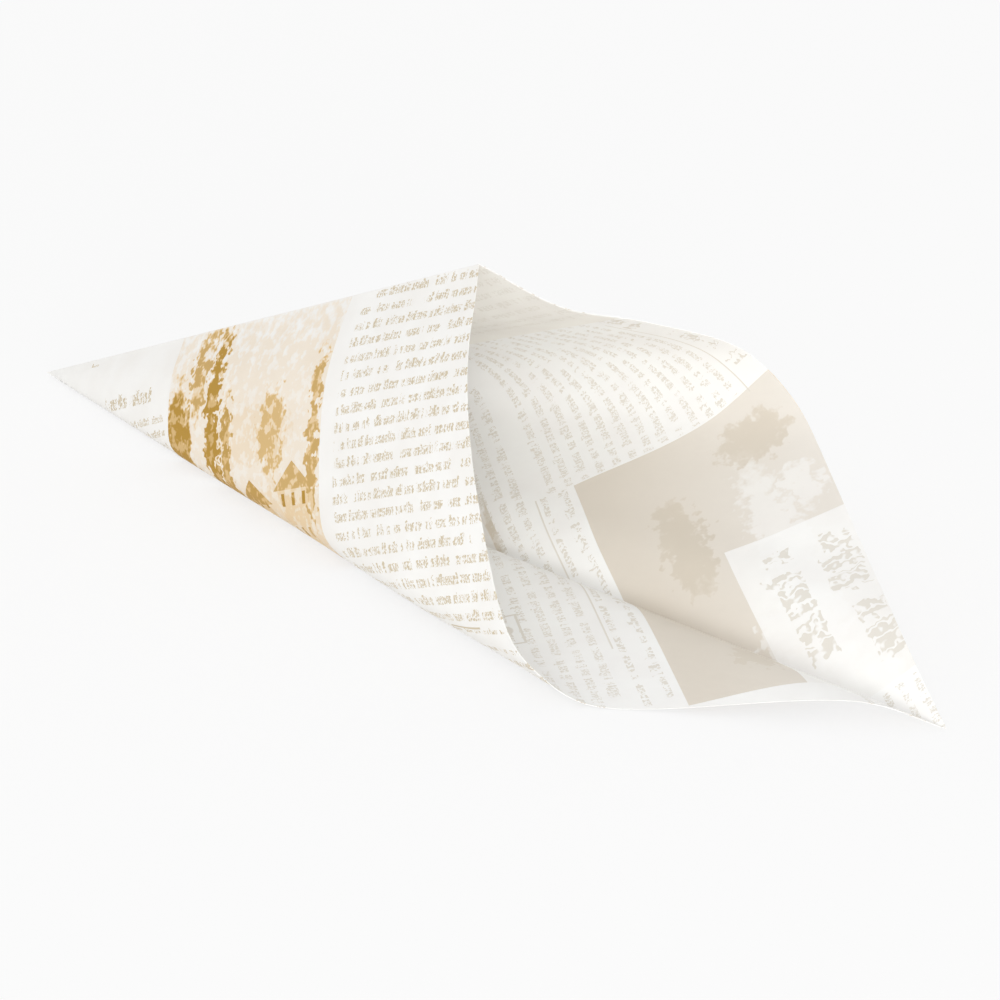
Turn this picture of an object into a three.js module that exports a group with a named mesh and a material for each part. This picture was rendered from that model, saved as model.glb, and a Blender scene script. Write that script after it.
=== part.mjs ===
// Paper food cone: one kite-shaped sheet of greaseproof paper, folded in half
// on its long diagonal and glued along one edge, opened out by hand and lying
// on its folded edge.
//
// Units are millimetres, +Z is up. The folded edge (the crease) lies on the
// floor and runs along +X, from the closed tip to the pointed corner of the
// mouth. The origin is on the floor, under the middle of the bounding box.
//
// Paper does not stretch, so the opened cone is a surface of straight lines
// through the tip. Its section is a closed curve of directions, a curve on the
// unit sphere, and the length of that curve inside each layer is the angle
// which the layer has at the tip when the bag lies flat.

import * as THREE from 'three';

// The cut sheet
const EDGE = 200;            // length of the seam edge, from the tip to the mouth
const LAYER_ANGLE = 36.6;    // angle of one layer at the tip, degrees
const MOUTH_ANGLE = 74.5;    // angle between the seam edge's line and the mouth edge
const FLAP = 36;             // width of the glue flap folded over the seam edge
const PAPER = 0.15;          // wall of one layer
const FLAP_END = 3;          // the flap stops this far short of the crease

// The opened section, as directions seen from the tip, each with its turn and
// its rise in degrees. Turn is measured round from the crease, towards -Y when
// it is negative, and rise is measured up from the floor.
const SEAM = [-3.7, 22.5];              // the folded seam edge, on top
const NEAR_SHOULDER = [-9.4, 15];       // the near layer's upper side, nearly straight to the seam
const NEAR_BELLY = [-12.9, 3.3];        // its lower side
const NEAR_CURL = [-12, 1.2];           // where it curls up from the floor
const NEAR_FLOOR = [-10.2, 0];          // it lies on the floor up to here
const FLAP_TOP = [1.2, 18.5];           // the far layer dips a little behind the seam
const FLAP_LINE = [6.8, 16.1];          // stiff and nearly flat from here up, under the flap
const FAR_BELLY = [12, 12.4];           // where it turns back over the mouth
const FAR_CURL = [12.4, 8.6];           // where it turns up
const FAR_FLOOR = [6, 4.3];             // low over the floor
const CREASE = [0, 0];                  // the folded edge, on the floor

// Facets across each layer, and points on the fine curve they are taken from
const NEAR_STEPS = 32;
const FAR_STEPS = 36;
const CURVE_POINTS = 800;

// A skin moved back along the cone's axis comes to lie outside the one it left,
// by the sine of the angle between axis and wall. The flap's skin then moves
// level, back and to its side, and comes out by this share of its move.
const WALL_LEAN = 12;        // usual angle between the cone's axis and its wall, degrees
const FLAP_SHARE = 0.35;
const FLAP_SIDE = 0.3;

const DEG = Math.PI / 180;
const BETA = LAYER_ANGLE * DEG;
const MOUTH = MOUTH_ANGLE * DEG;

function direction([turn, rise]) {
  return new THREE.Vector3(
    Math.cos(rise * DEG) * Math.cos(turn * DEG),
    Math.cos(rise * DEG) * Math.sin(turn * DEG),
    Math.sin(rise * DEG),
  );
}

// A smooth curve of directions through the named ones. Fullness moves the ones
// between its ends out from, or in to, the straight line that joins the ends.
function sweep(names, fullness) {
  const named = names.map(direction);
  const first = named[0];
  const end = named[named.length - 1];
  const whole = first.angleTo(end);
  const moved = named.map((point, k) => {
    if (k === 0 || k === named.length - 1) return point;
    const t = first.angleTo(point) / (first.angleTo(point) + point.angleTo(end));
    const onLine = first.clone().multiplyScalar(Math.sin((1 - t) * whole) / Math.sin(whole))
      .addScaledVector(end, Math.sin(t * whole) / Math.sin(whole));
    return onLine.lerp(point, fullness).normalize();
  });
  const curve = new THREE.CatmullRomCurve3(moved, false, 'centripetal');
  return curve.getPoints(CURVE_POINTS).map((point) => point.normalize());
}

function arcLength(list) {
  let sum = 0;
  for (let k = 1; k < list.length; k += 1) sum += list[k - 1].angleTo(list[k]);
  return sum;
}

// Where a growing measure stops being too small, between two bounds that are
// halved until no other number lies between them
function search(start, end, tooSmall) {
  let low = start;
  let high = end;
  let middle = (low + high) / 2;
  while (middle > low && middle < high) {
    if (tooSmall(middle)) low = middle;
    else high = middle;
    middle = (low + high) / 2;
  }
  return middle;
}

// A layer's section, as full as gives it exactly the layer's own angle
function fill(make) {
  return make(search(0.5, 2, (fullness) => arcLength(make(fullness)) < BETA));
}

// Directions at the given angles along a section, which starts at its own 0
function resample(list, angles) {
  const result = [];
  let k = 1;
  let done = 0;
  const whole = arcLength(list);
  for (const angle of angles) {
    const target = Math.min(angle / BETA, 1) * whole;
    while (k < list.length - 1 && done + list[k - 1].angleTo(list[k]) < target) {
      done += list[k - 1].angleTo(list[k]);
      k += 1;
    }
    const step = list[k - 1].angleTo(list[k]);
    const t = Math.min(Math.max((target - done) / step, 0), 1);
    result.push(list[k - 1].clone().lerp(list[k], t).normalize());
  }
  return result;
}

// Both sections run from the seam down to the crease, the near one straight
// along the floor at its end
const nearSection = fill((fullness) => [
  ...sweep([SEAM, NEAR_SHOULDER, NEAR_BELLY, NEAR_CURL, NEAR_FLOOR], fullness),
  direction(CREASE),
]);
const farSection = fill((fullness) => (
  sweep([SEAM, FLAP_TOP, FLAP_LINE, FAR_BELLY, FAR_CURL, FAR_FLOOR, CREASE], fullness)
));

// Length of the sheet from the tip to the mouth, at an angle from the seam
function mouthAt(angle) {
  return EDGE * Math.sin(MOUTH) / Math.sin(MOUTH - angle);
}

// The angle from the seam at which the flap's edge meets the mouth, where the
// flap's width, measured square to the seam, is all there is of the layer
function flapCorner() {
  return search(0, BETA, (angle) => mouthAt(angle) * Math.sin(angle) < FLAP);
}

const nearAngles = [];
for (let k = 0; k <= NEAR_STEPS; k += 1) nearAngles.push(BETA * k / NEAR_STEPS);

const corner = flapCorner();
const farAngles = [];
const underFlap = Math.round(FAR_STEPS * corner / BETA);
for (let k = 0; k <= underFlap; k += 1) farAngles.push(corner * k / underFlap);
for (let k = 1; k <= FAR_STEPS - underFlap; k += 1) {
  farAngles.push(corner + (BETA - corner) * k / (FAR_STEPS - underFlap));
}

const nearRays = resample(nearSection, nearAngles);
const farRays = resample(farSection, farAngles);

// The wall: the same cone moved back along its axis lies evenly outside itself,
// so its skins stay parallel all the way into the closed tip
const axis = new THREE.Vector3();
for (const ray of [...nearRays, ...farRays]) axis.add(ray);
axis.normalize();
const outerShift = axis.clone().multiplyScalar(-PAPER / Math.sin(WALL_LEAN * DEG));
// The flap lies outside the far layer and no lower than it
const flapShift = new THREE.Vector3(-1, FLAP_SIDE, 0).multiplyScalar(PAPER / FLAP_SHARE).add(outerShift);
const shifts = [new THREE.Vector3(), outerShift, flapShift];

const positions = [];
const triangles = [];

// A point of a skin: 0 is inside, 1 outside, and 2 outside on the flap
function place(skin, ray, reach) {
  const point = ray.clone().multiplyScalar(reach).add(shifts[skin]);
  positions.push(point.x, point.y, point.z);
  return positions.length / 3 - 1;
}

function triangle(a, b, c) {
  triangles.push(a, b, c);
}

function quad(a, b, c, d) {
  triangle(a, b, c);
  triangle(a, c, d);
}

const origin = new THREE.Vector3();
const tipInside = place(0, origin, 0);
const tipOutside = place(1, origin, 0);
const tipFlap = place(2, origin, 0);

const last = NEAR_STEPS;
const nearInside = nearRays.map((ray, k) => place(0, ray, mouthAt(nearAngles[k])));
const nearOutside = nearRays.map((ray, k) => place(1, ray, mouthAt(nearAngles[k])));

// The far layer's inner skin shares the seam and the crease with the near one
const farInside = farRays.map((ray, k) => {
  if (k === 0) return nearInside[0];
  if (k === FAR_STEPS) return nearInside[last];
  return place(0, ray, mouthAt(farAngles[k]));
});
const farOutside = farRays.map((ray, k) => {
  if (k < underFlap) return -1;
  if (k === FAR_STEPS) return nearOutside[last];
  return place(1, ray, mouthAt(farAngles[k]));
});

// The flap: a strip as wide as FLAP, glued outside the far layer. Towards the
// tip it takes in the layer's whole width, up to just short of the crease.
const flapReach = farAngles.map((angle, k) => (k <= underFlap ? mouthAt(angle) : FLAP / Math.sin(angle)));
flapReach[FAR_STEPS] -= FLAP_END;
const flapTop = farRays.map((ray, k) => place(2, ray, flapReach[k]));
const flapFoot = farRays.map((ray, k) => {
  if (k < underFlap) return -1;
  if (k === underFlap) return farOutside[k];
  return place(1, ray, flapReach[k]);
});

// Inner skin
for (let k = 0; k < last; k += 1) triangle(tipInside, nearInside[k], nearInside[k + 1]);
for (let k = 0; k < FAR_STEPS; k += 1) triangle(tipInside, farInside[k + 1], farInside[k]);

// Outer skin of the near layer, which meets the flap's end at the crease
for (let k = 0; k < last - 1; k += 1) triangle(tipOutside, nearOutside[k + 1], nearOutside[k]);
triangle(tipOutside, flapFoot[FAR_STEPS], nearOutside[last - 1]);
triangle(flapFoot[FAR_STEPS], nearOutside[last], nearOutside[last - 1]);

// Outer skin of the flap, its edge, and the far layer beyond it
for (let k = 0; k < FAR_STEPS; k += 1) triangle(tipFlap, flapTop[k], flapTop[k + 1]);
for (let k = underFlap; k < FAR_STEPS; k += 1) {
  if (k === underFlap) {
    triangle(flapTop[k], farOutside[k], flapFoot[k + 1]);
    triangle(flapTop[k], flapFoot[k + 1], flapTop[k + 1]);
    triangle(farOutside[k], farOutside[k + 1], flapFoot[k + 1]);
  } else {
    quad(flapTop[k], flapFoot[k], flapFoot[k + 1], flapTop[k + 1]);
    quad(flapFoot[k], farOutside[k], farOutside[k + 1], flapFoot[k + 1]);
  }
}

// Edges of the flap along the crease and along the seam
quad(tipOutside, tipFlap, flapTop[FAR_STEPS], flapFoot[FAR_STEPS]);
quad(tipOutside, nearOutside[0], flapTop[0], tipFlap);

// The cut edge of the mouth
for (let k = 0; k < last; k += 1) {
  quad(nearInside[k], nearOutside[k], nearOutside[k + 1], nearInside[k + 1]);
}
triangle(nearInside[0], flapTop[0], nearOutside[0]);
for (let k = 0; k < underFlap; k += 1) {
  quad(farInside[k], farInside[k + 1], flapTop[k + 1], flapTop[k]);
}
triangle(farInside[underFlap], farOutside[underFlap], flapTop[underFlap]);
for (let k = underFlap; k < FAR_STEPS; k += 1) {
  quad(farInside[k], farInside[k + 1], farOutside[k + 1], farOutside[k]);
}

const geometry = new THREE.BufferGeometry();
geometry.setAttribute('position', new THREE.Float32BufferAttribute(positions, 3));
geometry.setIndex(triangles);
geometry.computeVertexNormals();

// The crease rests on the floor, and the origin is under the middle of the box
geometry.computeBoundingBox();
const { min, max } = geometry.boundingBox;
geometry.translate(-(min.x + max.x) / 2, -(min.y + max.y) / 2, -min.z);

const paper = new THREE.MeshStandardMaterial({
  color: 0xfaf8f3,
  roughness: 0.75,
  metalness: 0,
  side: THREE.DoubleSide,
});

const cone = new THREE.Mesh(geometry, paper);
cone.name = 'paper_cone';

const foodCone = new THREE.Group();
foodCone.add(cone);

export default foodCone;
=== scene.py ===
# %% [markdown]
# # A paper food cone, opened out and lying on its fold
#
# A takeaway bag like this one is a single sheet of greaseproof paper. It is printed
# on one side, folded in half on its long diagonal, and glued along one edge by a
# flap. Here it is made the same way: a flat sheet is cut, printed by its material
# and rolled into a cone, so the print runs over the folds as it does on the real one.
#
# The frame comes first. It brings in the plain model, whose outer box is kept to
# place the finished one.

# %% The shared frame
import math

import bmesh
import bpy
from mathutils import Matrix, Vector


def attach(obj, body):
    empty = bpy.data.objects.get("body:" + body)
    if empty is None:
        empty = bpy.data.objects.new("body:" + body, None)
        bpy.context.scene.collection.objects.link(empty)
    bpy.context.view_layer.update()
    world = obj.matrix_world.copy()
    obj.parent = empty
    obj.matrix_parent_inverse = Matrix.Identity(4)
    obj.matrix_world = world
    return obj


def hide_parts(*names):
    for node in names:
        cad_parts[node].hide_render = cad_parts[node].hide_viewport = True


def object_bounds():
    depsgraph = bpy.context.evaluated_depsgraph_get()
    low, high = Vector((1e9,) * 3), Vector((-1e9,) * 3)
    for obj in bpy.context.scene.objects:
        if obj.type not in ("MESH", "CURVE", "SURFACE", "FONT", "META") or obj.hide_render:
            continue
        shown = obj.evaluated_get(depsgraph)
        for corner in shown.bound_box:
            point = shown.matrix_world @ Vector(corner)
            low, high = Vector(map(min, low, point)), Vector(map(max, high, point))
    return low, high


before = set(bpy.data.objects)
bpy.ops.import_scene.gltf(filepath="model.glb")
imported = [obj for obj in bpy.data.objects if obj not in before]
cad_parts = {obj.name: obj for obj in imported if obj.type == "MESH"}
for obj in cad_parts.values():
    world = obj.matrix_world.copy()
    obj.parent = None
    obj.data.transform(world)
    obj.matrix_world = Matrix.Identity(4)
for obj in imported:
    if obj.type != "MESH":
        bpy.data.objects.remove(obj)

cad_box = [[float(x) for x in corner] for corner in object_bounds()]
print("nodes of the plain model:", sorted(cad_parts))
print("its box, m:", cad_box)

# %% [markdown]
# ## Sizes of the sheet and of its opened section
#
# Paper bends but does not stretch, so every straight line from the tip stays
# straight. The opened form is then known from one curve: the directions, seen from
# the tip, in which these lines leave. Each direction is named by its turn, round
# from the crease and negative towards the camera, and by its rise above the floor.

# %% Sizes
EDGE = 0.200                        # the seam edge, from the tip to the mouth
LAYER = math.radians(36.55)         # angle of each layer at the tip
MOUTH = math.radians(74.6)          # angle from the seam edge's line to the mouth edge
FLAP = 0.036                        # width of the glue flap
FLAP_START = math.radians(33)       # the flap's end near the tip is cut along this line
PAPER = 0.0001                      # thickness of greaseproof paper
CREASE = EDGE * math.sin(MOUTH) / math.sin(MOUTH - LAYER)     # length of the folded edge

SEAM_WAY = (-3.7, 22.5)             # the folded seam edge, on top
CREASE_WAY = (0.0, 0.0)             # the folded edge, on the floor
NEAR_WAYS = [
    SEAM_WAY,
    (-9.4, 15.0),                   # its upper side, nearly straight to the seam
    (-12.9, 3.3),                   # its lower side
    (-12.1, 1.3),                   # it curls up
    (-10.4, 0.0),                   # and lies on the floor from here
    (-2.0, 0.9),                    # but for a stiff rise beside the fold
    CREASE_WAY,
]
FAR_WAYS = [
    SEAM_WAY,
    (1.2, 18.5),                    # a slight dip behind the seam
    (6.8, 16.1),                    # stiff and nearly flat from here up, under the flap
    (12.1, 12.4),                   # it turns back over the mouth
    (12.5, 8.5),                    # and bellies out
    (6.0, 4.3),                     # it comes in low over the floor
    (2.3, 2.6),                     # in a low hump
    CREASE_WAY,
]
print(f"crease {CREASE * 1000:.0f} mm, each layer {math.degrees(LAYER):.1f} degrees at the tip")


# %% The opened section, as smooth curves of directions
def direction(turn, rise):
    """The way from the tip at a turn and a rise in degrees."""
    turn, rise = math.radians(turn), math.radians(rise)
    level = math.cos(rise)
    return Vector((level * math.cos(turn), level * math.sin(turn), math.sin(rise)))


def between(a, b, c, d, share):
    """A point on the smooth curve from b to c, with a before it and d after it."""
    def mix(one, other, start, end):
        return one + (other - one) * ((t - start) / (end - start))

    k0 = 0.0
    k1 = k0 + math.sqrt((b - a).length)
    k2 = k1 + math.sqrt((c - b).length)
    k3 = k2 + math.sqrt((d - c).length)
    t = k1 + (k2 - k1) * share
    early = mix(mix(a, b, k0, k1), mix(b, c, k1, k2), k0, k2)
    late = mix(mix(b, c, k1, k2), mix(c, d, k2, k3), k1, k3)
    return mix(early, late, k1, k2).normalized()


def smooth(named, steps=60):
    """A smooth curve through the named directions, with this many steps from each to the next."""
    points = [2 * named[0] - named[1], *named, 2 * named[-1] - named[-2]]
    curve = [
        between(*four, step / steps)
        for four in zip(points, points[1:], points[2:], points[3:])
        for step in range(steps)
    ]
    return [*curve, named[-1]]


def length_of(curve):
    """The curve's length, which is an angle, because its points are directions."""
    return sum(a.angle(b) for a, b in zip(curve, curve[1:]))


# %% The section, fitted to the sheet
FLATTEST, FULLEST = 0.6, 1.6        # a layer bulges by a factor between these of what is named
HALVINGS = 24                       # and halving finds the one at which it has its angle


def section(ways):
    """A layer's curve of directions, moved out or in at its middle to have the layer's angle."""
    named = [direction(*way) for way in ways]
    low, high = FLATTEST, FULLEST
    for _ in range(HALVINGS):
        fullness = (low + high) / 2
        moved = [named[0]]
        for point in named[1:-1]:
            share = named[0].angle(point) / (named[0].angle(point) + point.angle(named[-1]))
            moved.append(named[0].slerp(named[-1], share).lerp(point, fullness).normalized())
        curve = smooth([*moved, named[-1]])
        if length_of(curve) < LAYER:
            low = fullness
        else:
            high = fullness
    print(f"section fits at a fullness of {fullness:.3f}")
    return curve


def evenly(curve, steps=720):
    """The same curve, at even steps of its length."""
    total = length_of(curve)
    even, reach, k = [], 0.0, 1
    for step in range(steps + 1):
        target = total * step / steps
        while k < len(curve) - 1 and reach + curve[k - 1].angle(curve[k]) < target:
            reach += curve[k - 1].angle(curve[k])
            k += 1
        share = (target - reach) / curve[k - 1].angle(curve[k])
        even.append(curve[k - 1].lerp(curve[k], min(max(share, 0), 1)).normalized())
    return even


near_curve = evenly(section(NEAR_WAYS))
far_curve = evenly(section(FAR_WAYS))
middle = sum(near_curve + far_curve, Vector()).normalized()
print("middle of the cone points", [round(x, 3) for x in middle])

# %% [markdown]
# ## Rolling the flat sheet
#
# On the flat sheet the tip is at the origin and the near seam edge runs along X. A
# point at some distance and angle from the tip keeps its distance, and its angle
# picks one of the directions above. Angles run over the near layer to the crease and
# on over the far layer, and negative ones are on the flap, which lies outside the
# far layer.


# %% From the flat sheet to its place on the cone
FLAP_RISE = 1.6 * PAPER             # the flap lies this far out from the layer that it is glued to
FLAP_BEND = 0.0006                  # and gets there this far from the fold


def ray_at(angle):
    """The direction of a line of the sheet, and the way out of the cone there."""
    if angle < 0:
        curve, share = far_curve, -angle / LAYER
    elif angle <= LAYER:
        curve, share = near_curve, angle / LAYER
    else:
        curve, share = far_curve, (2 * LAYER - angle) / LAYER
    place = min(max(share, 0), 1) * (len(curve) - 1)
    k = min(int(place), len(curve) - 2)
    ray = curve[k].lerp(curve[k + 1], place - k).normalized()
    out = ray.cross(curve[k + 1] - curve[k]).normalized()
    return ray, out if out.dot(ray - middle) > 0 else -out


def rolled(x, y):
    """Where a point of the flat sheet comes to lie, seen from the tip, and the way out there."""
    angle = math.atan2(y, x)
    ray, out = ray_at(angle)
    point = ray * math.hypot(x, y)
    if angle < 0:
        point += out * FLAP_RISE * min(-y / FLAP_BEND, 1)
    return point, out


far_corner = (CREASE * math.cos(LAYER), CREASE * math.sin(LAYER))
pointed = rolled(*far_corner)[0]
print("pointed corner of the mouth, from the tip:", [round(x, 3) for x in pointed])

# %% [markdown]
# ## Cutting the sheet
#
# A grid primitive is the uncut paper. Bisect cuts it along straight lines as a knife
# and ruler would, and where the line is only a fold it leaves both sides in place. The
# cut sheet keeps its flat coordinates as its UV map, so that the material can print on
# it.

# %% The uncut paper
CELL = 0.0015                       # side of one face, fine enough for the tightest bend
SPARE = 0.004                       # the paper is this much wider and longer than it is cut to
UV_SHIFT = Vector((0.05, 0.05))     # keeps the flap's part of the map above zero
width = far_corner[0] + SPARE
height = EDGE * math.sin(2 * LAYER) + SPARE

for each in bpy.context.selected_objects:
    each.select_set(False)
bpy.ops.mesh.primitive_grid_add(
    x_subdivisions=round(width / CELL),
    y_subdivisions=round((height + FLAP) / CELL),
    size=1,
    location=(width / 2, (height - FLAP) / 2, 0),
)
sheet = bpy.context.object
sheet.name = "folded_sheet"
sheet.scale = (width, height + FLAP, 1)
bpy.ops.object.transform_apply(location=True, rotation=False, scale=True)
uncut = [round(x * 1000) for x in sheet.dimensions[:2]]
print("uncut paper", uncut, "mm,", len(sheet.data.polygons), "faces")


# %% Cutting and creasing
def cut(point, angle, drop=True, on_flap=None):
    """Cuts along a line through a point at an angle, and drops what lies to its left."""
    bpy.ops.mesh.select_all(action="DESELECT")
    mesh = bmesh.from_edit_mesh(sheet.data)
    for face in mesh.faces:
        if on_flap is None or on_flap == (face.calc_center_median().y < 0):
            face.select_set(True)
    mesh.select_flush_mode()
    bmesh.update_edit_mesh(sheet.data)
    bpy.ops.mesh.bisect(
        plane_co=(point[0], point[1], 0),
        plane_no=(-math.sin(angle), math.cos(angle), 0),
        clear_outer=drop,
        clear_inner=False,
    )


tip = (0, 0)
seam_corner = (EDGE, 0)
bpy.ops.object.mode_set(mode="EDIT")
bpy.ops.mesh.select_mode(type="FACE")
cut(tip, 0, drop=False)                                # the folded seam edge
cut(seam_corner, MOUTH + math.pi, on_flap=False)       # the near mouth edge
cut(far_corner, 2 * LAYER - MOUTH, on_flap=False)      # the far mouth edge
cut(tip, 2 * LAYER, on_flap=False)                     # the far seam edge, under the flap
cut(tip, LAYER, drop=False, on_flap=False)             # the crease
cut(seam_corner, -MOUTH, on_flap=True)                 # the flap's end at the mouth
cut(tip, math.pi - FLAP_START, on_flap=True)           # and its end near the tip
bpy.ops.object.mode_set(mode="OBJECT")
print("cut sheet has", len(sheet.data.polygons), "faces")

# %% Flat coordinates as the map for the print
mesh = sheet.data
flat_map = mesh.uv_layers[0]
flat_map.name = "flat_sheet"
for loop in mesh.loops:
    flat_map.data[loop.index].uv = mesh.vertices[loop.vertex_index].co.xy + UV_SHIFT
flat_area = sum(face.area for face in mesh.polygons)
print(f"flat area of the sheet {flat_area * 10000:.0f} square centimetres")

# %% [markdown]
# ## Rolling it up
#
# Each point of the sheet goes to its place on the cone. Real paper is never quite
# even: it keeps a few long soft waves where it was handled, widest at the mouth,
# where the edge is free. They are a fraction of a millimetre high and are added
# square to the paper.

# %% Soft waves of the paper
WAVE = 0.0004                       # height of the waves at the mouth
FOLD_HOLD = math.radians(3)         # a fold keeps the paper straight this far from it
# Each wave: how fast it runs round the tip, where it starts, how fast it runs along and
# across the sheet, and its share of the height
WAVES = [(9.0, 1.3, 11, 4, 1.0), (23, 0.0, -6, 17, 0.4)]


def waves(x, y):
    """Height of the waves. The flap takes those of the far layer that it is glued to."""
    reach = math.hypot(x, y) / EDGE
    angle = math.atan2(y, x)
    if angle < 0:
        angle += 2 * LAYER
    x, y = reach * math.cos(angle), reach * math.sin(angle)
    raised = sum(
        share * math.sin(around * angle + start) * math.sin(along * x + across * y)
        for around, start, along, across, share in WAVES
    )
    held = min(abs(angle), abs(angle - LAYER), abs(angle - 2 * LAYER)) / FOLD_HOLD
    return WAVE * min(reach, 1) ** 2 * min(held, 1) * raised


# %% Rolling
spots = []
for vertex in mesh.vertices:
    spot, out = rolled(*vertex.co.xy)
    spots.append(spot + out * waves(*vertex.co.xy))
sides = [spot.y for spot in spots]
tip_place = Vector((cad_box[1][0] - CREASE, -(min(sides) + max(sides)) / 2, 0))
for vertex, spot in zip(mesh.vertices, spots):
    vertex.co = spot + tip_place
print("tip at", [round(x * 1000, 1) for x in tip_place], "mm")

# %% [markdown]
# ## Two sides of the paper
#
# Solidify gives the sheet its thickness, on its outer side, so the inner side stays
# where the section was drawn. The printed side and the plain side are two slots: a
# face belongs to the printed side when it faces out of the cone.

# %% Thickness
PROBE = (0.12, 0.03)                # a place in the near layer's middle, to tell the two sides by
probe_place, outward = rolled(*PROBE)
probe_place = probe_place + tip_place
near_face = min(mesh.polygons, key=lambda face: (face.center - probe_place).length)
if near_face.normal.dot(outward) < 0:
    bpy.ops.object.mode_set(mode="EDIT")
    bpy.ops.mesh.select_all(action="SELECT")
    bpy.ops.mesh.flip_normals()
    bpy.ops.object.mode_set(mode="OBJECT")
solidify = sheet.modifiers.new("thickness", "SOLIDIFY")
solidify.thickness = PAPER
solidify.offset = 1
solidify.use_even_offset = False
bpy.ops.object.modifier_apply(modifier=solidify.name)
print("paper of", round(PAPER * 1000, 2), "mm,", len(sheet.data.polygons), "faces")

# %% Printed side and plain side, and down on the floor
INWARDS = -0.5                      # the plain side's faces look inwards by more than this
mesh = sheet.data
flat_map = mesh.uv_layers["flat_sheet"]


def flat_place(face):
    """The middle of a face, on the flat sheet."""
    places = [Vector(flat_map.data[k].uv) for k in face.loop_indices]
    return sum(places, Vector((0, 0))) / len(places) - UV_SHIFT


inner_faces = 0
for face in mesh.polygons:
    facing = face.normal.dot(rolled(*flat_place(face))[1])
    face.material_index = 1 if facing < INWARDS else 0
    inner_faces += face.material_index
lowest = min(vertex.co.z for vertex in mesh.vertices)
for vertex in mesh.vertices:
    vertex.co.z -= lowest
print(inner_faces, "faces on the plain side, sheet lifted by", round(-lowest * 1000, 2), "mm")

# %% Folds stay sharp, and the rest is smooth
SHARP = math.radians(40)            # faces that meet at more than this meet in a fold or an edge
bpy.ops.object.select_all(action="DESELECT")
sheet.select_set(True)
bpy.context.view_layer.objects.active = sheet
bpy.ops.object.shade_smooth_by_angle(angle=SHARP)
print(len(mesh.polygons), "faces shaded smooth")

# %% [markdown]
# ## Finishes
#
# The sheet is bleached greaseproof paper, beaten fine and pressed smooth, so it is
# nearly white, half matt, and thin enough for its print to show through as a pale
# mirrored shadow. It is printed on one side in one golden brown ink. The print could
# be an image, but here it is drawn by nodes from the sheet's flat coordinates, in
# millimetres: fields of colour and simple shapes, which stay sharp at any size.
#
# One helper turns a colour as a screen writes it into the linear one that the
# shader reads, and one adds a node with its settings and links.

# %% A colour, and a node with its links
def colour(text):
    """An sRGB hex colour, by the sRGB formula, as the linear colour that the shader reads."""
    parts = [int(text[k:k + 2], 16) / 255 for k in (1, 3, 5)]
    return (*[p / 12.92 if p <= 0.04045 else ((p + 0.055) / 1.055) ** 2.4 for p in parts], 1.0)


def add(tree, kind, inputs=None, output=0, **settings):
    """Adds a node. Each input is a value, or the output of another node to link from."""
    node = tree.nodes.new("ShaderNode" + kind)
    for name, value in settings.items():
        setattr(node, name, value)
    for socket, value in (inputs or {}).items():
        if isinstance(value, bpy.types.NodeSocket):
            tree.links.new(value, node.inputs[socket])
        else:
            node.inputs[socket].default_value = value
    return node.outputs[output]


# %% [markdown]
# ## Where the print lies
#
# On the page, U runs along the rows and V down them, in millimetres from the tip.
# The sheet was cut a little askew of its print. The flap is glued under the far
# layer, so turning the same coordinates by both layers' angle gives the page as it
# lies on the flap below.

# %% Places on the page
PRINT_TILT = math.radians(1.2)      # turn of the printed page on the sheet
MM = 1000                           # millimetres in a metre


def on_page(tree, turn):
    """The flat place in millimetres, turned about the tip."""
    flat = add(tree, "UVMap", uv_map="flat_sheet")
    corner = Matrix.Rotation(-turn, 2) @ UV_SHIFT * MM
    return add(tree, "Mapping", {
        "Vector": flat,
        "Scale": (MM, MM, MM),
        "Rotation": (0, 0, -turn),
        "Location": (-corner.x, -corner.y, 0),
    })


def block(tree, place, left, right, top, bottom):
    """1 inside a rectangle of the page, and 0 outside it."""
    u = add(tree, "SeparateXYZ", {0: place}, output="X")
    v = u.node.outputs["Y"]
    sides = {0: u, 1: (left + right) / 2, 2: (right - left) / 2}
    ends = {0: v, 1: (top + bottom) / 2, 2: (bottom - top) / 2}
    across = add(tree, "Math", sides, operation="COMPARE")
    down = add(tree, "Math", ends, operation="COMPARE")
    return add(tree, "Math", {0: across, 1: down}, operation="MULTIPLY")


def oval(tree, place, centre, radii, edge):
    """1 inside an oval of the page, fading to 0 over its edge, a share of its radius."""
    seen = add(tree, "Mapping", {
        "Vector": place,
        "Scale": (1 / radii[0], 1 / radii[1], 0),
        "Location": (-centre[0] / radii[0], -centre[1] / radii[1], 0),
    })
    reach = add(tree, "VectorMath", {0: seen}, output="Value", operation="LENGTH")
    return add(tree, "MapRange", {"Value": reach, "From Min": 1, "From Max": 1 - edge})


def most(tree, fields):
    """The largest of several fields."""
    total = fields[0]
    for field in fields[1:]:
        total = add(tree, "Math", {0: total, 1: field}, operation="MAXIMUM")
    return total


# %% [markdown]
# ## Small print
#
# Rows of small print are drawn as rows of upright strokes, which look like words
# from a step away and say nothing. Each row has a band of ink as high as a small
# letter. A Voronoi pattern stretched along the row breaks it into words, a finer one
# breaks the words into strokes, of which some stand taller, and a fine noise bends
# the strokes and wears holes into them.

# %% Blocks of small print
# Each kind of print has the top of its first row, its pitch and its letters' height, and
# each block that holds it has its left, right, top and bottom, all in millimetres
COLUMN_PRINT = (-34.2, 4.3, 1.9)
COLUMNS = [(157, 270, -34.2, 84), (204, 270, 88, 112), (80, 139.4, 121, 177), (92, 230, 91, 116)]
OTHER_PRINT = [
    ((19.0, 3.8, 1.5), [(37, 72, 19, 37), (240, 262, 164, 187), (27, 31, -2, 1.8)]),
    ((10.6, 7.0, 3.0), [(37, 68, 10.6, 17.6), (140, 236, 119, 126)]),
    ((158.0, 14.0, 7.0), [(190, 234, 158, 186)]),
    ((179.0, 9.0, 5.0), [(92, 134, 179, 188)]),
]
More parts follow.
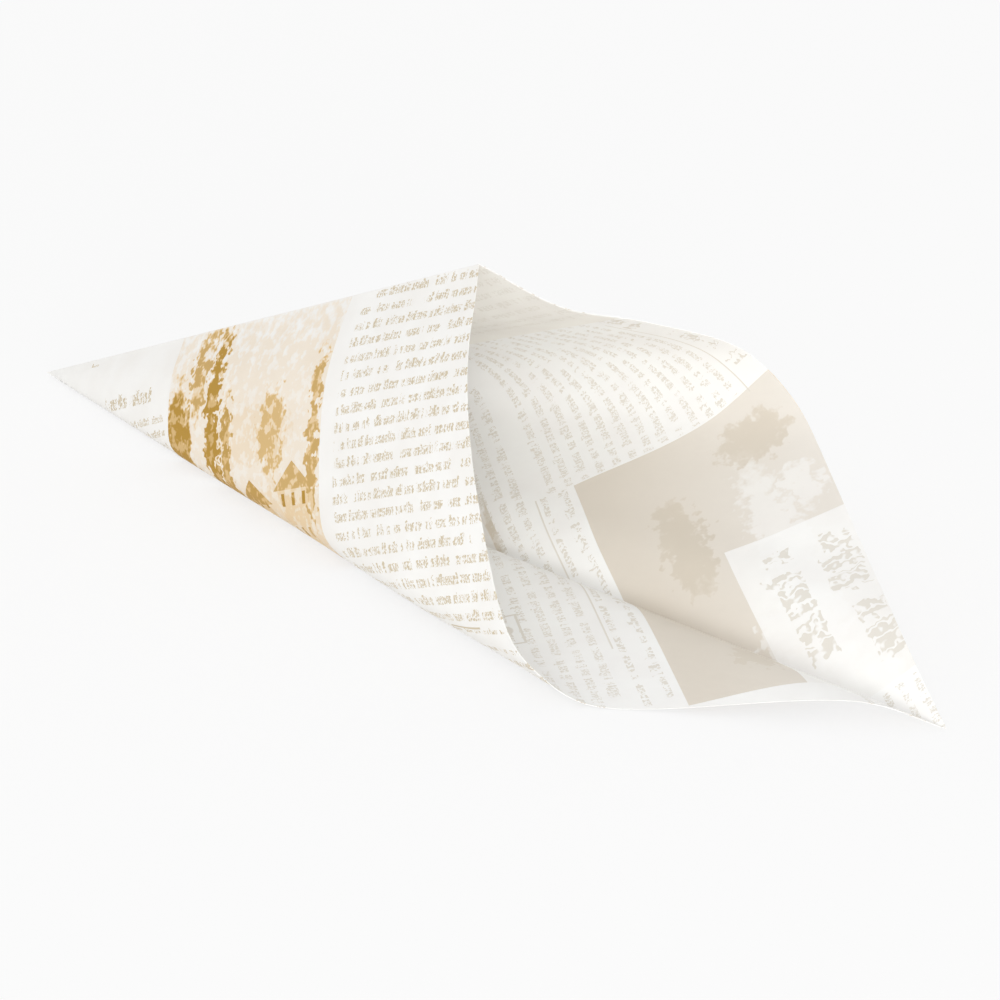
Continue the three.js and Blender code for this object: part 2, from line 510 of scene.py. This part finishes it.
# Thin rules, and the four sides of a small box
RULES = [
    (196, 214, 82.3, 82.8),
    (100, 141, 177.9, 178.3),
    (140, 210, 117.7, 118.1),
    (186, 200, 91.6, 92.2),
    (186, 200, 99.8, 100.4),
    (186, 186.6, 91.6, 100.4),
    (199.4, 200, 91.6, 100.4),
]
BOX_DOT = ((193, 96), (2.6, 2.6), 0.15)     # an oval's middle and radii, and how soft its edge is


def kinds_of_print(tree, place):
    """Where there is small print, and its top, pitch and height there."""
    held = most(tree, [block(tree, place, *sides) for sides in COLUMNS])
    settings = list(COLUMN_PRINT)
    for kind, blocks in OTHER_PRINT:
        mask = most(tree, [block(tree, place, *sides) for sides in blocks])
        held = add(tree, "Math", {0: held, 1: mask}, operation="MAXIMUM")
        for k, usual in enumerate(COLUMN_PRINT):
            change = {0: mask, 1: kind[k] - usual, 2: settings[k]}
            settings[k] = add(tree, "Math", change, operation="MULTIPLY_ADD")
    return held, *settings


# %% Rows of strokes
WORD = 4.2                          # usual length of a word, in heights of its letters
STROKE = 0.46                       # usual pitch of the strokes, in the same heights
WORD_GAP, STROKE_GAP = 0.065, 0.15  # half the gaps between them, as shares of their own lengths
BEND = Vector((0.8, 0.25, 0))       # strokes are bent by at most half of this, in the same heights
FINENESS = 2.8                      # the noise that bends them changes this often in a height
WEAR = {"From Min": 0.34, "From Max": 0.46}     # where that noise is low there is no ink
TALL, TALLER = 0.78, 0.35           # one stroke in five is taller, by this share of the height
FAR_APART = 10                      # rows are this far apart in the patterns, so none are alike


def cells(tree, along, row, feature, output):
    """A row of cells of uneven length, read from one line across a Voronoi pattern."""
    spot = add(tree, "CombineXYZ", {"X": along, "Y": row})
    return add(
        tree, "TexVoronoi", {"Vector": spot, "Scale": 1}, output=output,
        voronoi_dimensions="2D", feature=feature,
    )


def bent_and_worn(tree, place, height):
    """The place bent by noise as fine as the strokes, and where that noise leaves ink."""
    fineness = add(tree, "Math", {0: FINENESS, 1: height}, operation="DIVIDE")
    fine = add(tree, "VectorMath", {0: place, "Scale": fineness}, operation="SCALE")
    noise = add(
        tree, "TexNoise", {"Vector": fine, "Scale": 1, "Detail": 1},
        output="Color", noise_dimensions="2D",
    )
    kept = add(tree, "SeparateXYZ", {0: noise}, output="Z")
    kept = add(tree, "MapRange", {"Value": kept, **WEAR})
    bent = add(tree, "VectorMath", {0: noise, 1: BEND, 2: BEND / -2}, operation="MULTIPLY_ADD")
    bent = add(tree, "VectorMath", {0: bent, "Scale": height}, operation="SCALE")
    return add(tree, "VectorMath", {0: bent, 1: place}, operation="ADD"), kept


def strokes(tree, heights, row):
    """1 in the words of a row, 1 in its strokes, and 1 where a stroke stands taller."""
    along = add(tree, "Math", {0: heights, 1: 1 / WORD}, operation="MULTIPLY")
    gap = cells(tree, along, row, "DISTANCE_TO_EDGE", "Distance")
    word = add(tree, "Math", {0: gap, 1: WORD_GAP}, operation="GREATER_THAN")
    along = add(tree, "Math", {0: heights, 1: 1 / STROKE}, operation="MULTIPLY")
    gap = cells(tree, along, row, "DISTANCE_TO_EDGE", "Distance")
    stroke = add(tree, "Math", {0: gap, 1: STROKE_GAP}, operation="GREATER_THAN")
    chance = add(tree, "SeparateXYZ", {0: cells(tree, along, row, "F1", "Color")}, output="X")
    return word, stroke, add(tree, "Math", {0: chance, 1: TALL}, operation="GREATER_THAN")


# %% All the small print
def small_print(tree, place):
    """Ink of all the small print, its rules and its box."""
    held, top, pitch, height = kinds_of_print(tree, place)
    bent, kept = bent_and_worn(tree, place, height)
    u = add(tree, "SeparateXYZ", {0: bent}, output="X")
    below_top = add(tree, "Math", {0: u.node.outputs["Y"], 1: top}, operation="SUBTRACT")
    line = add(tree, "Math", {0: below_top, 1: pitch}, operation="DIVIDE")
    row = add(tree, "Math", {0: line}, operation="FLOOR")
    # Read half way between two rows of the pattern's grid, where its edges cross the line
    row = add(tree, "Math", {0: row, 1: FAR_APART, 2: 0.5}, operation="MULTIPLY_ADD")
    heights = add(tree, "Math", {0: u, 1: height}, operation="DIVIDE")
    word, stroke, tall = strokes(tree, heights, row)
    # Letters stand about the middle of their row, and tall ones end on the same line
    share = add(tree, "Math", {0: height, 1: pitch}, operation="DIVIDE")
    reach = add(tree, "Math", {0: tall, 1: TALLER, 2: 0.5}, operation="MULTIPLY_ADD")
    reach = add(tree, "Math", {0: reach, 1: share}, operation="MULTIPLY")
    start = add(tree, "Math", {0: 0.5, 1: reach}, operation="SUBTRACT")
    end = add(tree, "Math", {0: share, 1: 0.5, 2: 0.5}, operation="MULTIPLY_ADD")
    down = add(tree, "Math", {0: line}, operation="FRACT")
    above = add(tree, "Math", {0: down, 1: start}, operation="GREATER_THAN")
    below = add(tree, "Math", {0: down, 1: end}, operation="LESS_THAN")
    ink = held
    for part in (word, stroke, above, below, kept):
        ink = add(tree, "Math", {0: ink, 1: part}, operation="MULTIPLY")
    lines = [block(tree, place, *sides) for sides in RULES]
    return most(tree, [ink, *lines, oval(tree, place, *BOX_DOT)])


# %% [markdown]
# ## Printed pictures
#
# Between the columns are two plain pictures, printed as in an old paper: a row of
# village houses behind trees and water, and a garden with a path. They are made here
# as fields of tone: trees from ovals with a ragged outline, houses from rectangles
# and gables, and water and worn patches from noise. A tone of 0 is bare paper and 1
# the darkest ink.

# %% Shapes in the pictures
TREES = [                           # ovals: middle, radii, tone
    ((79, 36), (8, 26), 0.95),
    ((87, 60), (12, 16), 0.85),
    ((97.5, 34), (3.6, 46), 1.00),
    ((89, 6), (5, 20), 0.70),
    ((104.5, 40), (3.0, 26), 0.80),
    ((127, 30), (7.5, 13), 0.55),
    ((147, 34), (3.0, 26), 0.70),
    ((103, 80), (17, 5), 0.85),
    ((132, 92), (16, 5), 0.70),
    ((118, 30), (24, 9), 0.26),     # a far wood
    ((128, 72), (44, 36), 0.30),    # and the rise that the houses stand on
]
WALLS = [                           # rectangles: left, right, top, bottom, tone
    (108, 124, 48, 64, 0.42),
    (130, 145, 45, 64, 0.38),
    (74, 150.5, 64, 67, 0.75),
]
GABLES = [                          # middle of the eaves, half their width, height, tone
    ((116, 48), 10, 7, 0.80),
    ((137.5, 45), 9.5, 7, 0.66),
]
BUSHES = [                          # ovals: middle, radii, tone
    ((236, 190), (36, 17), 0.95),
    ((176, 147), (26, 9), 0.80),
    ((152, 172), (11, 15), 0.72),
    ((222, 148), (12, 10), 0.66),
]
PATH = ((196, 168), (44, 7))        # a pale oval: middle, radii, and two beds beside it
BEDS = [((172, 178), (9, 5)), ((212, 158), (8, 5))]
WINDOW_PITCH = (5.2, 9.0)           # across and down
WINDOW = (0.35, 0.65, 0.10, 0.45)   # its sides, as shares of the pitch
FIRST_PICTURE = (74, 150.5, -30, 106)       # left, right, top, bottom
SECOND_PICTURE = (140, 238.6, 128, 194)
PANEL = (184, 238.6, 154.5, 194)    # a pale panel laid over the second picture


def toned(tree, shapes):
    """The darkest of several shapes, each given as its field and its tone."""
    return most(tree, [
        add(tree, "Math", {0: field, 1: tone}, operation="MULTIPLY")
        for field, tone in shapes
    ])


def gable(tree, place, eaves, half, height):
    """1 inside a triangle that stands on its eaves, and 0 outside it."""
    u = add(tree, "SeparateXYZ", {0: place}, output="X")
    aside = add(tree, "Math", {0: u, 1: eaves[0]}, operation="SUBTRACT")
    aside = add(tree, "Math", {0: aside}, operation="ABSOLUTE")
    slope = {0: aside, 1: height / half, 2: eaves[1] - height}
    lowered = add(tree, "Math", slope, operation="MULTIPLY_ADD")
    under = add(tree, "Math", {0: u.node.outputs["Y"], 1: lowered}, operation="GREATER_THAN")
    over = add(tree, "Math", {0: u.node.outputs["Y"], 1: eaves[1]}, operation="LESS_THAN")
    return add(tree, "Math", {0: under, 1: over}, operation="MULTIPLY")


def windows(tree, place):
    """1 in a grid of upright windows."""
    steps = (1 / WINDOW_PITCH[0], 1 / WINDOW_PITCH[1], 0)
    grid = add(tree, "VectorMath", {0: place, 1: steps}, operation="MULTIPLY")
    grid = add(tree, "VectorMath", {0: grid}, operation="FRACTION")
    return block(tree, grid, *WINDOW)


# %% Tones and edges
TREE_EDGE, BUSH_EDGE, BED_EDGE = 0.25, 0.5, 0.3     # outlines fade over this share of a radius
SKY = 0.17                          # palest tone of the first picture
FADE = {"From Min": 16, "From Max": 40}     # its top fades out between these lines of the page
FADE_RAGGED = 60                    # which noise moves by up to this much
SHORE = 67                          # water below this line of the page
STREAK = (0.07, 0.5, 0)             # how often its tone changes in a millimetre across and down
GLASS = 1.6                         # windows are darker than their wall by this share of its tone
BED_PALER, PANEL_PALER = 0.55, 0.85     # shares of the tone that these take off
PATCH = 0.3                         # how often worn patches change in a millimetre
RAGGED = Vector((11, 13, 0))        # outlines are shifted by at most half of this, in millimetres
# From noise to the water's tone, from lines of the page to the lawn's, which is darker towards
# the crease as painted shade of the fold, and from noise to the share of its tone that a worn
# picture keeps
WATER = {"From Min": 0.42, "From Max": 0.58, "To Min": 0.12, "To Max": 0.75}
LAWN_TONE_AND_CREASE_SHADE = {"From Min": 135, "From Max": 195, "To Min": 0.56, "To Max": 0.38}
CRISP = {"From Min": 0.40, "From Max": 0.50, "To Min": 0.62, "To Max": 1.05}


# %% The first picture
def village(tree, place, ragged, worn):
    """Tone of the houses behind trees and water."""
    v = add(tree, "SeparateXYZ", {0: place}, output="Y")
    wide = add(tree, "VectorMath", {0: place, 1: STREAK}, operation="MULTIPLY")
    streaks = add(
        tree, "TexNoise", {"Vector": wide, "Scale": 1, "Detail": 1}, noise_dimensions="2D",
    )
    water = add(tree, "MapRange", {"Value": streaks, **WATER})
    shore = add(tree, "Math", {0: v, 1: SHORE}, operation="GREATER_THAN")
    walls = toned(tree, [(block(tree, place, *sides), tone) for *sides, tone in WALLS])
    glass = add(tree, "Math", {0: walls, 1: windows(tree, place)}, operation="MULTIPLY")
    walls = add(tree, "Math", {0: glass, 1: GLASS, 2: walls}, operation="MULTIPLY_ADD")
    shapes = [(oval(tree, ragged, *form, TREE_EDGE), tone) for *form, tone in TREES]
    shapes += [(gable(tree, place, *form), tone) for *form, tone in GABLES]
    water = add(tree, "Math", {0: shore, 1: water}, operation="MULTIPLY")
    shapes += [(walls, 1), (water, 1)]
    drawn = most(tree, [toned(tree, shapes), SKY])
    # The sky fades out unevenly into the paper
    lowered = add(tree, "Math", {0: worn, 1: FADE_RAGGED, 2: v}, operation="MULTIPLY_ADD")
    fade = add(tree, "MapRange", {"Value": lowered, **FADE})
    held = add(tree, "Math", {0: fade, 1: block(tree, place, *FIRST_PICTURE)}, operation="MULTIPLY")
    return add(tree, "Math", {0: drawn, 1: held}, operation="MULTIPLY")


# %% The second picture, and both together
def garden(tree, place, ragged):
    """Tone of the garden, its path and beds, and the panel over it, with painted shade of the fold
    darkening the lawn towards the crease.
    """
    v = add(tree, "SeparateXYZ", {0: place}, output="Y")
    # The lawn's tone is darker towards the crease: painted shade of the fold, laid into the print
    lawn_and_crease_shade = add(tree, "MapRange", {"Value": v, **LAWN_TONE_AND_CREASE_SHADE})
    bushes = toned(tree, [(oval(tree, ragged, *form, BUSH_EDGE), tone) for *form, tone in BUSHES])
    drawn = add(tree, "Math", {0: lawn_and_crease_shade, 1: bushes}, operation="MAXIMUM")
    beds = most(tree, [oval(tree, ragged, *form, BED_EDGE) for form in (PATH, *BEDS)])
    beds = add(tree, "Math", {0: beds, 1: -BED_PALER, 2: 1.0}, operation="MULTIPLY_ADD")
    panel = block(tree, place, *PANEL)
    panel = add(tree, "Math", {0: panel, 1: -PANEL_PALER, 2: 1.0}, operation="MULTIPLY_ADD")
    for part in (beds, panel, block(tree, place, *SECOND_PICTURE)):
        drawn = add(tree, "Math", {0: drawn, 1: part}, operation="MULTIPLY")
    return drawn


def pictures(tree, place):
    """Tone of both pictures, with the worn patches of a cheap print."""
    shift = add(
        tree, "TexNoise", {"Vector": place, "Scale": PATCH, "Detail": 2, "Roughness": 0.65},
        output="Color", noise_dimensions="2D",
    )
    ragged = add(tree, "VectorMath", {0: shift, 1: RAGGED, 2: place}, operation="MULTIPLY_ADD")
    ragged = add(tree, "VectorMath", {0: ragged, 1: RAGGED / 2}, operation="SUBTRACT")
    worn = add(tree, "SeparateXYZ", {0: shift}, output="Z")
    crisp = add(tree, "MapRange", {"Value": worn, **CRISP})
    houses = village(tree, place, ragged, worn)
    houses = add(tree, "Math", {0: houses, 1: crisp}, operation="MULTIPLY")
    return add(tree, "Math", {0: houses, 1: garden(tree, place, ragged)}, operation="ADD")


# %% [markdown]
# ## The printed side and the plain side
#
# Both sides share the paper and the print. On the printed side the ink is golden
# brown, and it is rubbed thin on the folds. On the plain side it shows through as a
# paler and greyer shadow, and where the flap lies under the far layer the paper is
# a little warmer and the flap's print shows too, paler still. Greaseproof paper has
# no fibres that the eye can see, but it is a little cloudy and not quite flat.

# %% Paper of each side
CLOUD = 14                          # size of the paper's clouds, mm
COCKLE = 5                          # size of its shallow dents, mm
DENTS = {"Strength": 0.25, "Distance": 0.0006}      # and how deep they look, m
CLOUDED = {"From Min": 0.35, "From Max": 0.65}      # from noise to the share of cloudy paper
ROUGHNESS, SPECULAR = 0.62, 0.3     # half matt, and not as shiny as a coated paper
PRINTED_PAPER = ("#FDFCF9", "#FAF8F4")      # the paper, and its clouds
PLAIN_PAPER = ("#FBFBF9", "#F8F7F5")
FLAP_PAPER = "#FBF9F5"              # the tint that the flap behind it gives the plain side
INKS = ("#EBCB95", "#BA9034", "#D6C8AD")    # pale and deep in pictures, and in small print
INKS_THROUGH = ("#E2DACE", "#D0C5B2", "#E1DCD2")    # the same as they show through the paper
PALE_INK = {"From Max": 0.5}        # from the tone to the share of each ink
DEEP_INK = {"From Min": 0.4, "From Max": 0.95}
RUBBED = {"From Max": 0.7, "To Min": 0.35}      # from mm beside a fold to the share of ink left
THROUGH, FLAP_THROUGH = 0.85, 0.50  # share of the tones that the paper lets through


def beside(tree, turn):
    """Distance in mm from a line through the tip, at a turn from the near seam edge."""
    across = add(tree, "SeparateXYZ", {0: on_page(tree, turn)}, output="Y")
    return add(tree, "Math", {0: across}, operation="ABSOLUTE")


def inked(tree, paper, tone, ink, pale, deep, text):
    """Prints a picture's tone and the small print over a paper colour."""
    light = add(tree, "MapRange", {"Value": tone, **PALE_INK})
    dark = add(tree, "MapRange", {"Value": tone, **DEEP_INK})
    under = add(tree, "Mix", {0: light, 6: paper, 7: colour(pale)}, output=2, data_type="RGBA")
    over = add(tree, "Mix", {0: dark, 6: under, 7: colour(deep)}, output=2, data_type="RGBA")
    return add(tree, "Mix", {0: ink, 6: over, 7: colour(text)}, output=2, data_type="RGBA")


def greaseproof(name, paper, cloudy):
    """A paper material, its tree and its base colour before any print."""
    material = bpy.data.materials.new(name)
    material.use_nodes = True
    tree = material.node_tree
    place = on_page(tree, 0)
    clouds = {"Vector": place, "Scale": 1 / CLOUD, "Detail": 2}
    cloud = add(tree, "TexNoise", clouds, noise_dimensions="2D")
    share = add(tree, "MapRange", {"Value": cloud, **CLOUDED})
    colours = {0: share, 6: colour(paper), 7: colour(cloudy)}
    base = add(tree, "Mix", colours, output=2, data_type="RGBA")
    dents = {"Vector": place, "Scale": 1 / COCKLE, "Detail": 2}
    cockle = add(tree, "TexNoise", dents, noise_dimensions="2D")
    bump = add(tree, "Bump", {"Height": cockle, **DENTS})
    shader = tree.nodes["Principled BSDF"]
    tree.links.new(bump, shader.inputs["Normal"])
    shader.inputs["Roughness"].default_value = ROUGHNESS
    shader.inputs["Specular IOR Level"].default_value = SPECULAR
    return material, tree, base


# %% Printed side
printed_side, tree, base = greaseproof("greaseproof_printed_side", *PRINTED_PAPER)
page_place = on_page(tree, PRINT_TILT)
tone = pictures(tree, page_place)
ink = small_print(tree, page_place)
fold = add(tree, "Math", {0: beside(tree, 0), 1: beside(tree, LAYER)}, operation="MINIMUM")
rubbed = add(tree, "MapRange", {"Value": fold, **RUBBED})
tone = add(tree, "Math", {0: tone, 1: rubbed}, operation="MULTIPLY")
ink = add(tree, "Math", {0: ink, 1: rubbed}, operation="MULTIPLY")
printed = inked(tree, base, tone, ink, *INKS)
tree.links.new(printed, tree.nodes["Principled BSDF"].inputs["Base Color"])
print("printed side:", len(tree.nodes), "nodes")

# %% Plain side
plain_side, tree, base = greaseproof("greaseproof_plain_side", *PLAIN_PAPER)
across = add(tree, "SeparateXYZ", {0: on_page(tree, 2 * LAYER)}, output="Y")
on_flap = add(tree, "Math", {0: across, 1: -FLAP * MM}, operation="GREATER_THAN")
places = {0: on_flap, 4: on_page(tree, PRINT_TILT), 5: on_page(tree, 2 * LAYER + PRINT_TILT)}
page_place = add(tree, "Mix", places, output=1, data_type="VECTOR")
papers = {0: on_flap, 6: base, 7: colour(FLAP_PAPER)}
warmed = add(tree, "Mix", papers, output=2, data_type="RGBA", blend_type="MULTIPLY")
shares = {0: on_flap, 1: FLAP_THROUGH - THROUGH, 2: THROUGH}
faint = add(tree, "Math", shares, operation="MULTIPLY_ADD")
tone = add(tree, "Math", {0: pictures(tree, page_place), 1: faint}, operation="MULTIPLY")
ink = add(tree, "Math", {0: small_print(tree, page_place), 1: faint}, operation="MULTIPLY")
shown = inked(tree, warmed, tone, ink, *INKS_THROUGH)
tree.links.new(shown, tree.nodes["Principled BSDF"].inputs["Base Color"])
print("plain side:", len(tree.nodes), "nodes")

mesh.materials.append(printed_side)
mesh.materials.append(plain_side)

# %% [markdown]
# ## Floor, light and camera
#
# The bag lies on a plain pale floor. Such a pale thing is lit from all round, as in
# a light tent: the world gives most of the light, so the paper keeps its tones, and
# soft lamps add only a little direction and a soft shadow. The floor is only shown as
# white, and it lights the paper as an ordinary pale floor would.

# %% What is only shown, and lights nothing
def on_show(tree):
    """1 where the camera looks, also in a mirror or through glass, and 0 for light on its way."""
    camera_ray = add(tree, "LightPath", output="Is Camera Ray")
    rays = camera_ray.node.outputs
    shows = add(tree, "Math", {0: camera_ray, 1: rays["Is Glossy Ray"]}, operation="MAXIMUM")
    return add(tree, "Math", {0: shows, 1: rays["Is Transmission Ray"]}, operation="MAXIMUM")


# %% Floor
FLOOR_SIZE = 8                      # wide enough to fill the picture
FLOOR_PAINT = "#F6F6F6"
FLOOR_WHITE = 0.75                  # share of plain white that the camera sees on the floor
bpy.ops.object.select_all(action="DESELECT")
bpy.ops.mesh.primitive_plane_add(size=FLOOR_SIZE, location=(0, 0, 0))
floor = bpy.context.object
floor.name = "floor"
floor_paint = bpy.data.materials.new("matt_white_table")
floor_paint.use_nodes = True
tree = floor_paint.node_tree
floor_shader = tree.nodes["Principled BSDF"]
floor_shader.inputs["Base Color"].default_value = colour(FLOOR_PAINT)
floor_shader.inputs["Roughness"].default_value = 0.9
floor_shader.inputs["Specular IOR Level"].default_value = 0.0
share = add(tree, "Math", {0: on_show(tree), 1: FLOOR_WHITE}, operation="MULTIPLY")
white = add(tree, "Emission", {"Color": (1, 1, 1, 1), "Strength": 1.0})
mixed = add(tree, "MixShader", {0: share, 1: floor_shader.outputs[0], 2: white})
tree.links.new(mixed, tree.nodes["Material Output"].inputs["Surface"])
floor.data.materials.append(floor_paint)
print("floor", FLOOR_SIZE, "m wide")

# %% Light
TENT = 0.74                         # strength of the light from all round
world = bpy.data.worlds.new("light_tent")
bpy.context.scene.world = world
world.use_nodes = True
tree = world.node_tree
tent = add(tree, "Background", {"Color": (1, 1, 1, 1), "Strength": TENT})
shown_white = add(tree, "Background", {"Color": (1, 1, 1, 1), "Strength": 1.0})
mixed = add(tree, "MixShader", {0: on_show(tree), 1: tent, 2: shown_white})
tree.links.new(mixed, tree.nodes["World Output"].inputs["Surface"])


def lamp(name, place, size, power):
    """A square soft lamp at a place, turned to the bag and out of every view."""
    bpy.ops.object.light_add(type="AREA", location=place)
    light = bpy.context.object
    light.name = name
    light.data.size = size
    light.data.energy = power
    light.visible_camera = False
    light.rotation_euler = (-Vector(place)).to_track_quat("-Z", "Y").to_euler()
    print(name, power, "W,", round(Vector(place).length, 2), "m away")


lamp("front", (1.15, -1.2, 0.95), 0.9, 3.5)
lamp("low_front", (1.3, -1.1, 0.24), 0.4, 8)
lamp("mouth_side", (1.75, -0.6, 0.2), 0.6, 6)
lamp("back", (-1.0, 1.4, 1.3), 1.4, 4)
lamp("overhead", (0.2, 0.1, 2.0), 1.6, 1)

# %% Camera
CAMERA_FROM_TIP = Vector((0.5989, -0.4360, 0.2624))
CAMERA_TURN = math.radians(-46.19)
CAMERA_RISE = math.radians(22.34)
CAMERA_ROLL = math.radians(0.71)
LENS, SENSOR = 97.2, 36             # mm
CLOSEST = 0.01                      # the camera shows nothing nearer than this
camera_data = bpy.data.cameras.new("photo_view")
camera_data.sensor_width = SENSOR
camera_data.lens = LENS
camera_data.clip_start = CLOSEST
camera = bpy.data.objects.new("photo_view", camera_data)
bpy.context.scene.collection.objects.link(camera)
back = Vector((
    math.cos(CAMERA_RISE) * math.cos(CAMERA_TURN),
    math.cos(CAMERA_RISE) * math.sin(CAMERA_TURN),
    math.sin(CAMERA_RISE),
))
right = Vector((-math.sin(CAMERA_TURN), math.cos(CAMERA_TURN), 0))
up = back.cross(right)
turned_right = right * math.cos(CAMERA_ROLL) + up * math.sin(CAMERA_ROLL)
turned_up = up * math.cos(CAMERA_ROLL) - right * math.sin(CAMERA_ROLL)
aim = Matrix((turned_right, turned_up, back)).transposed().to_4x4()
camera.matrix_world = Matrix.Translation(tip_place + CAMERA_FROM_TIP) @ aim
bpy.context.scene.camera = camera
bpy.context.scene.view_settings.view_transform = "Standard"
print("camera", [round(x, 3) for x in camera.matrix_world.translation])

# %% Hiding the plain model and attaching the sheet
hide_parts("paper_cone")
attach(sheet, "root")
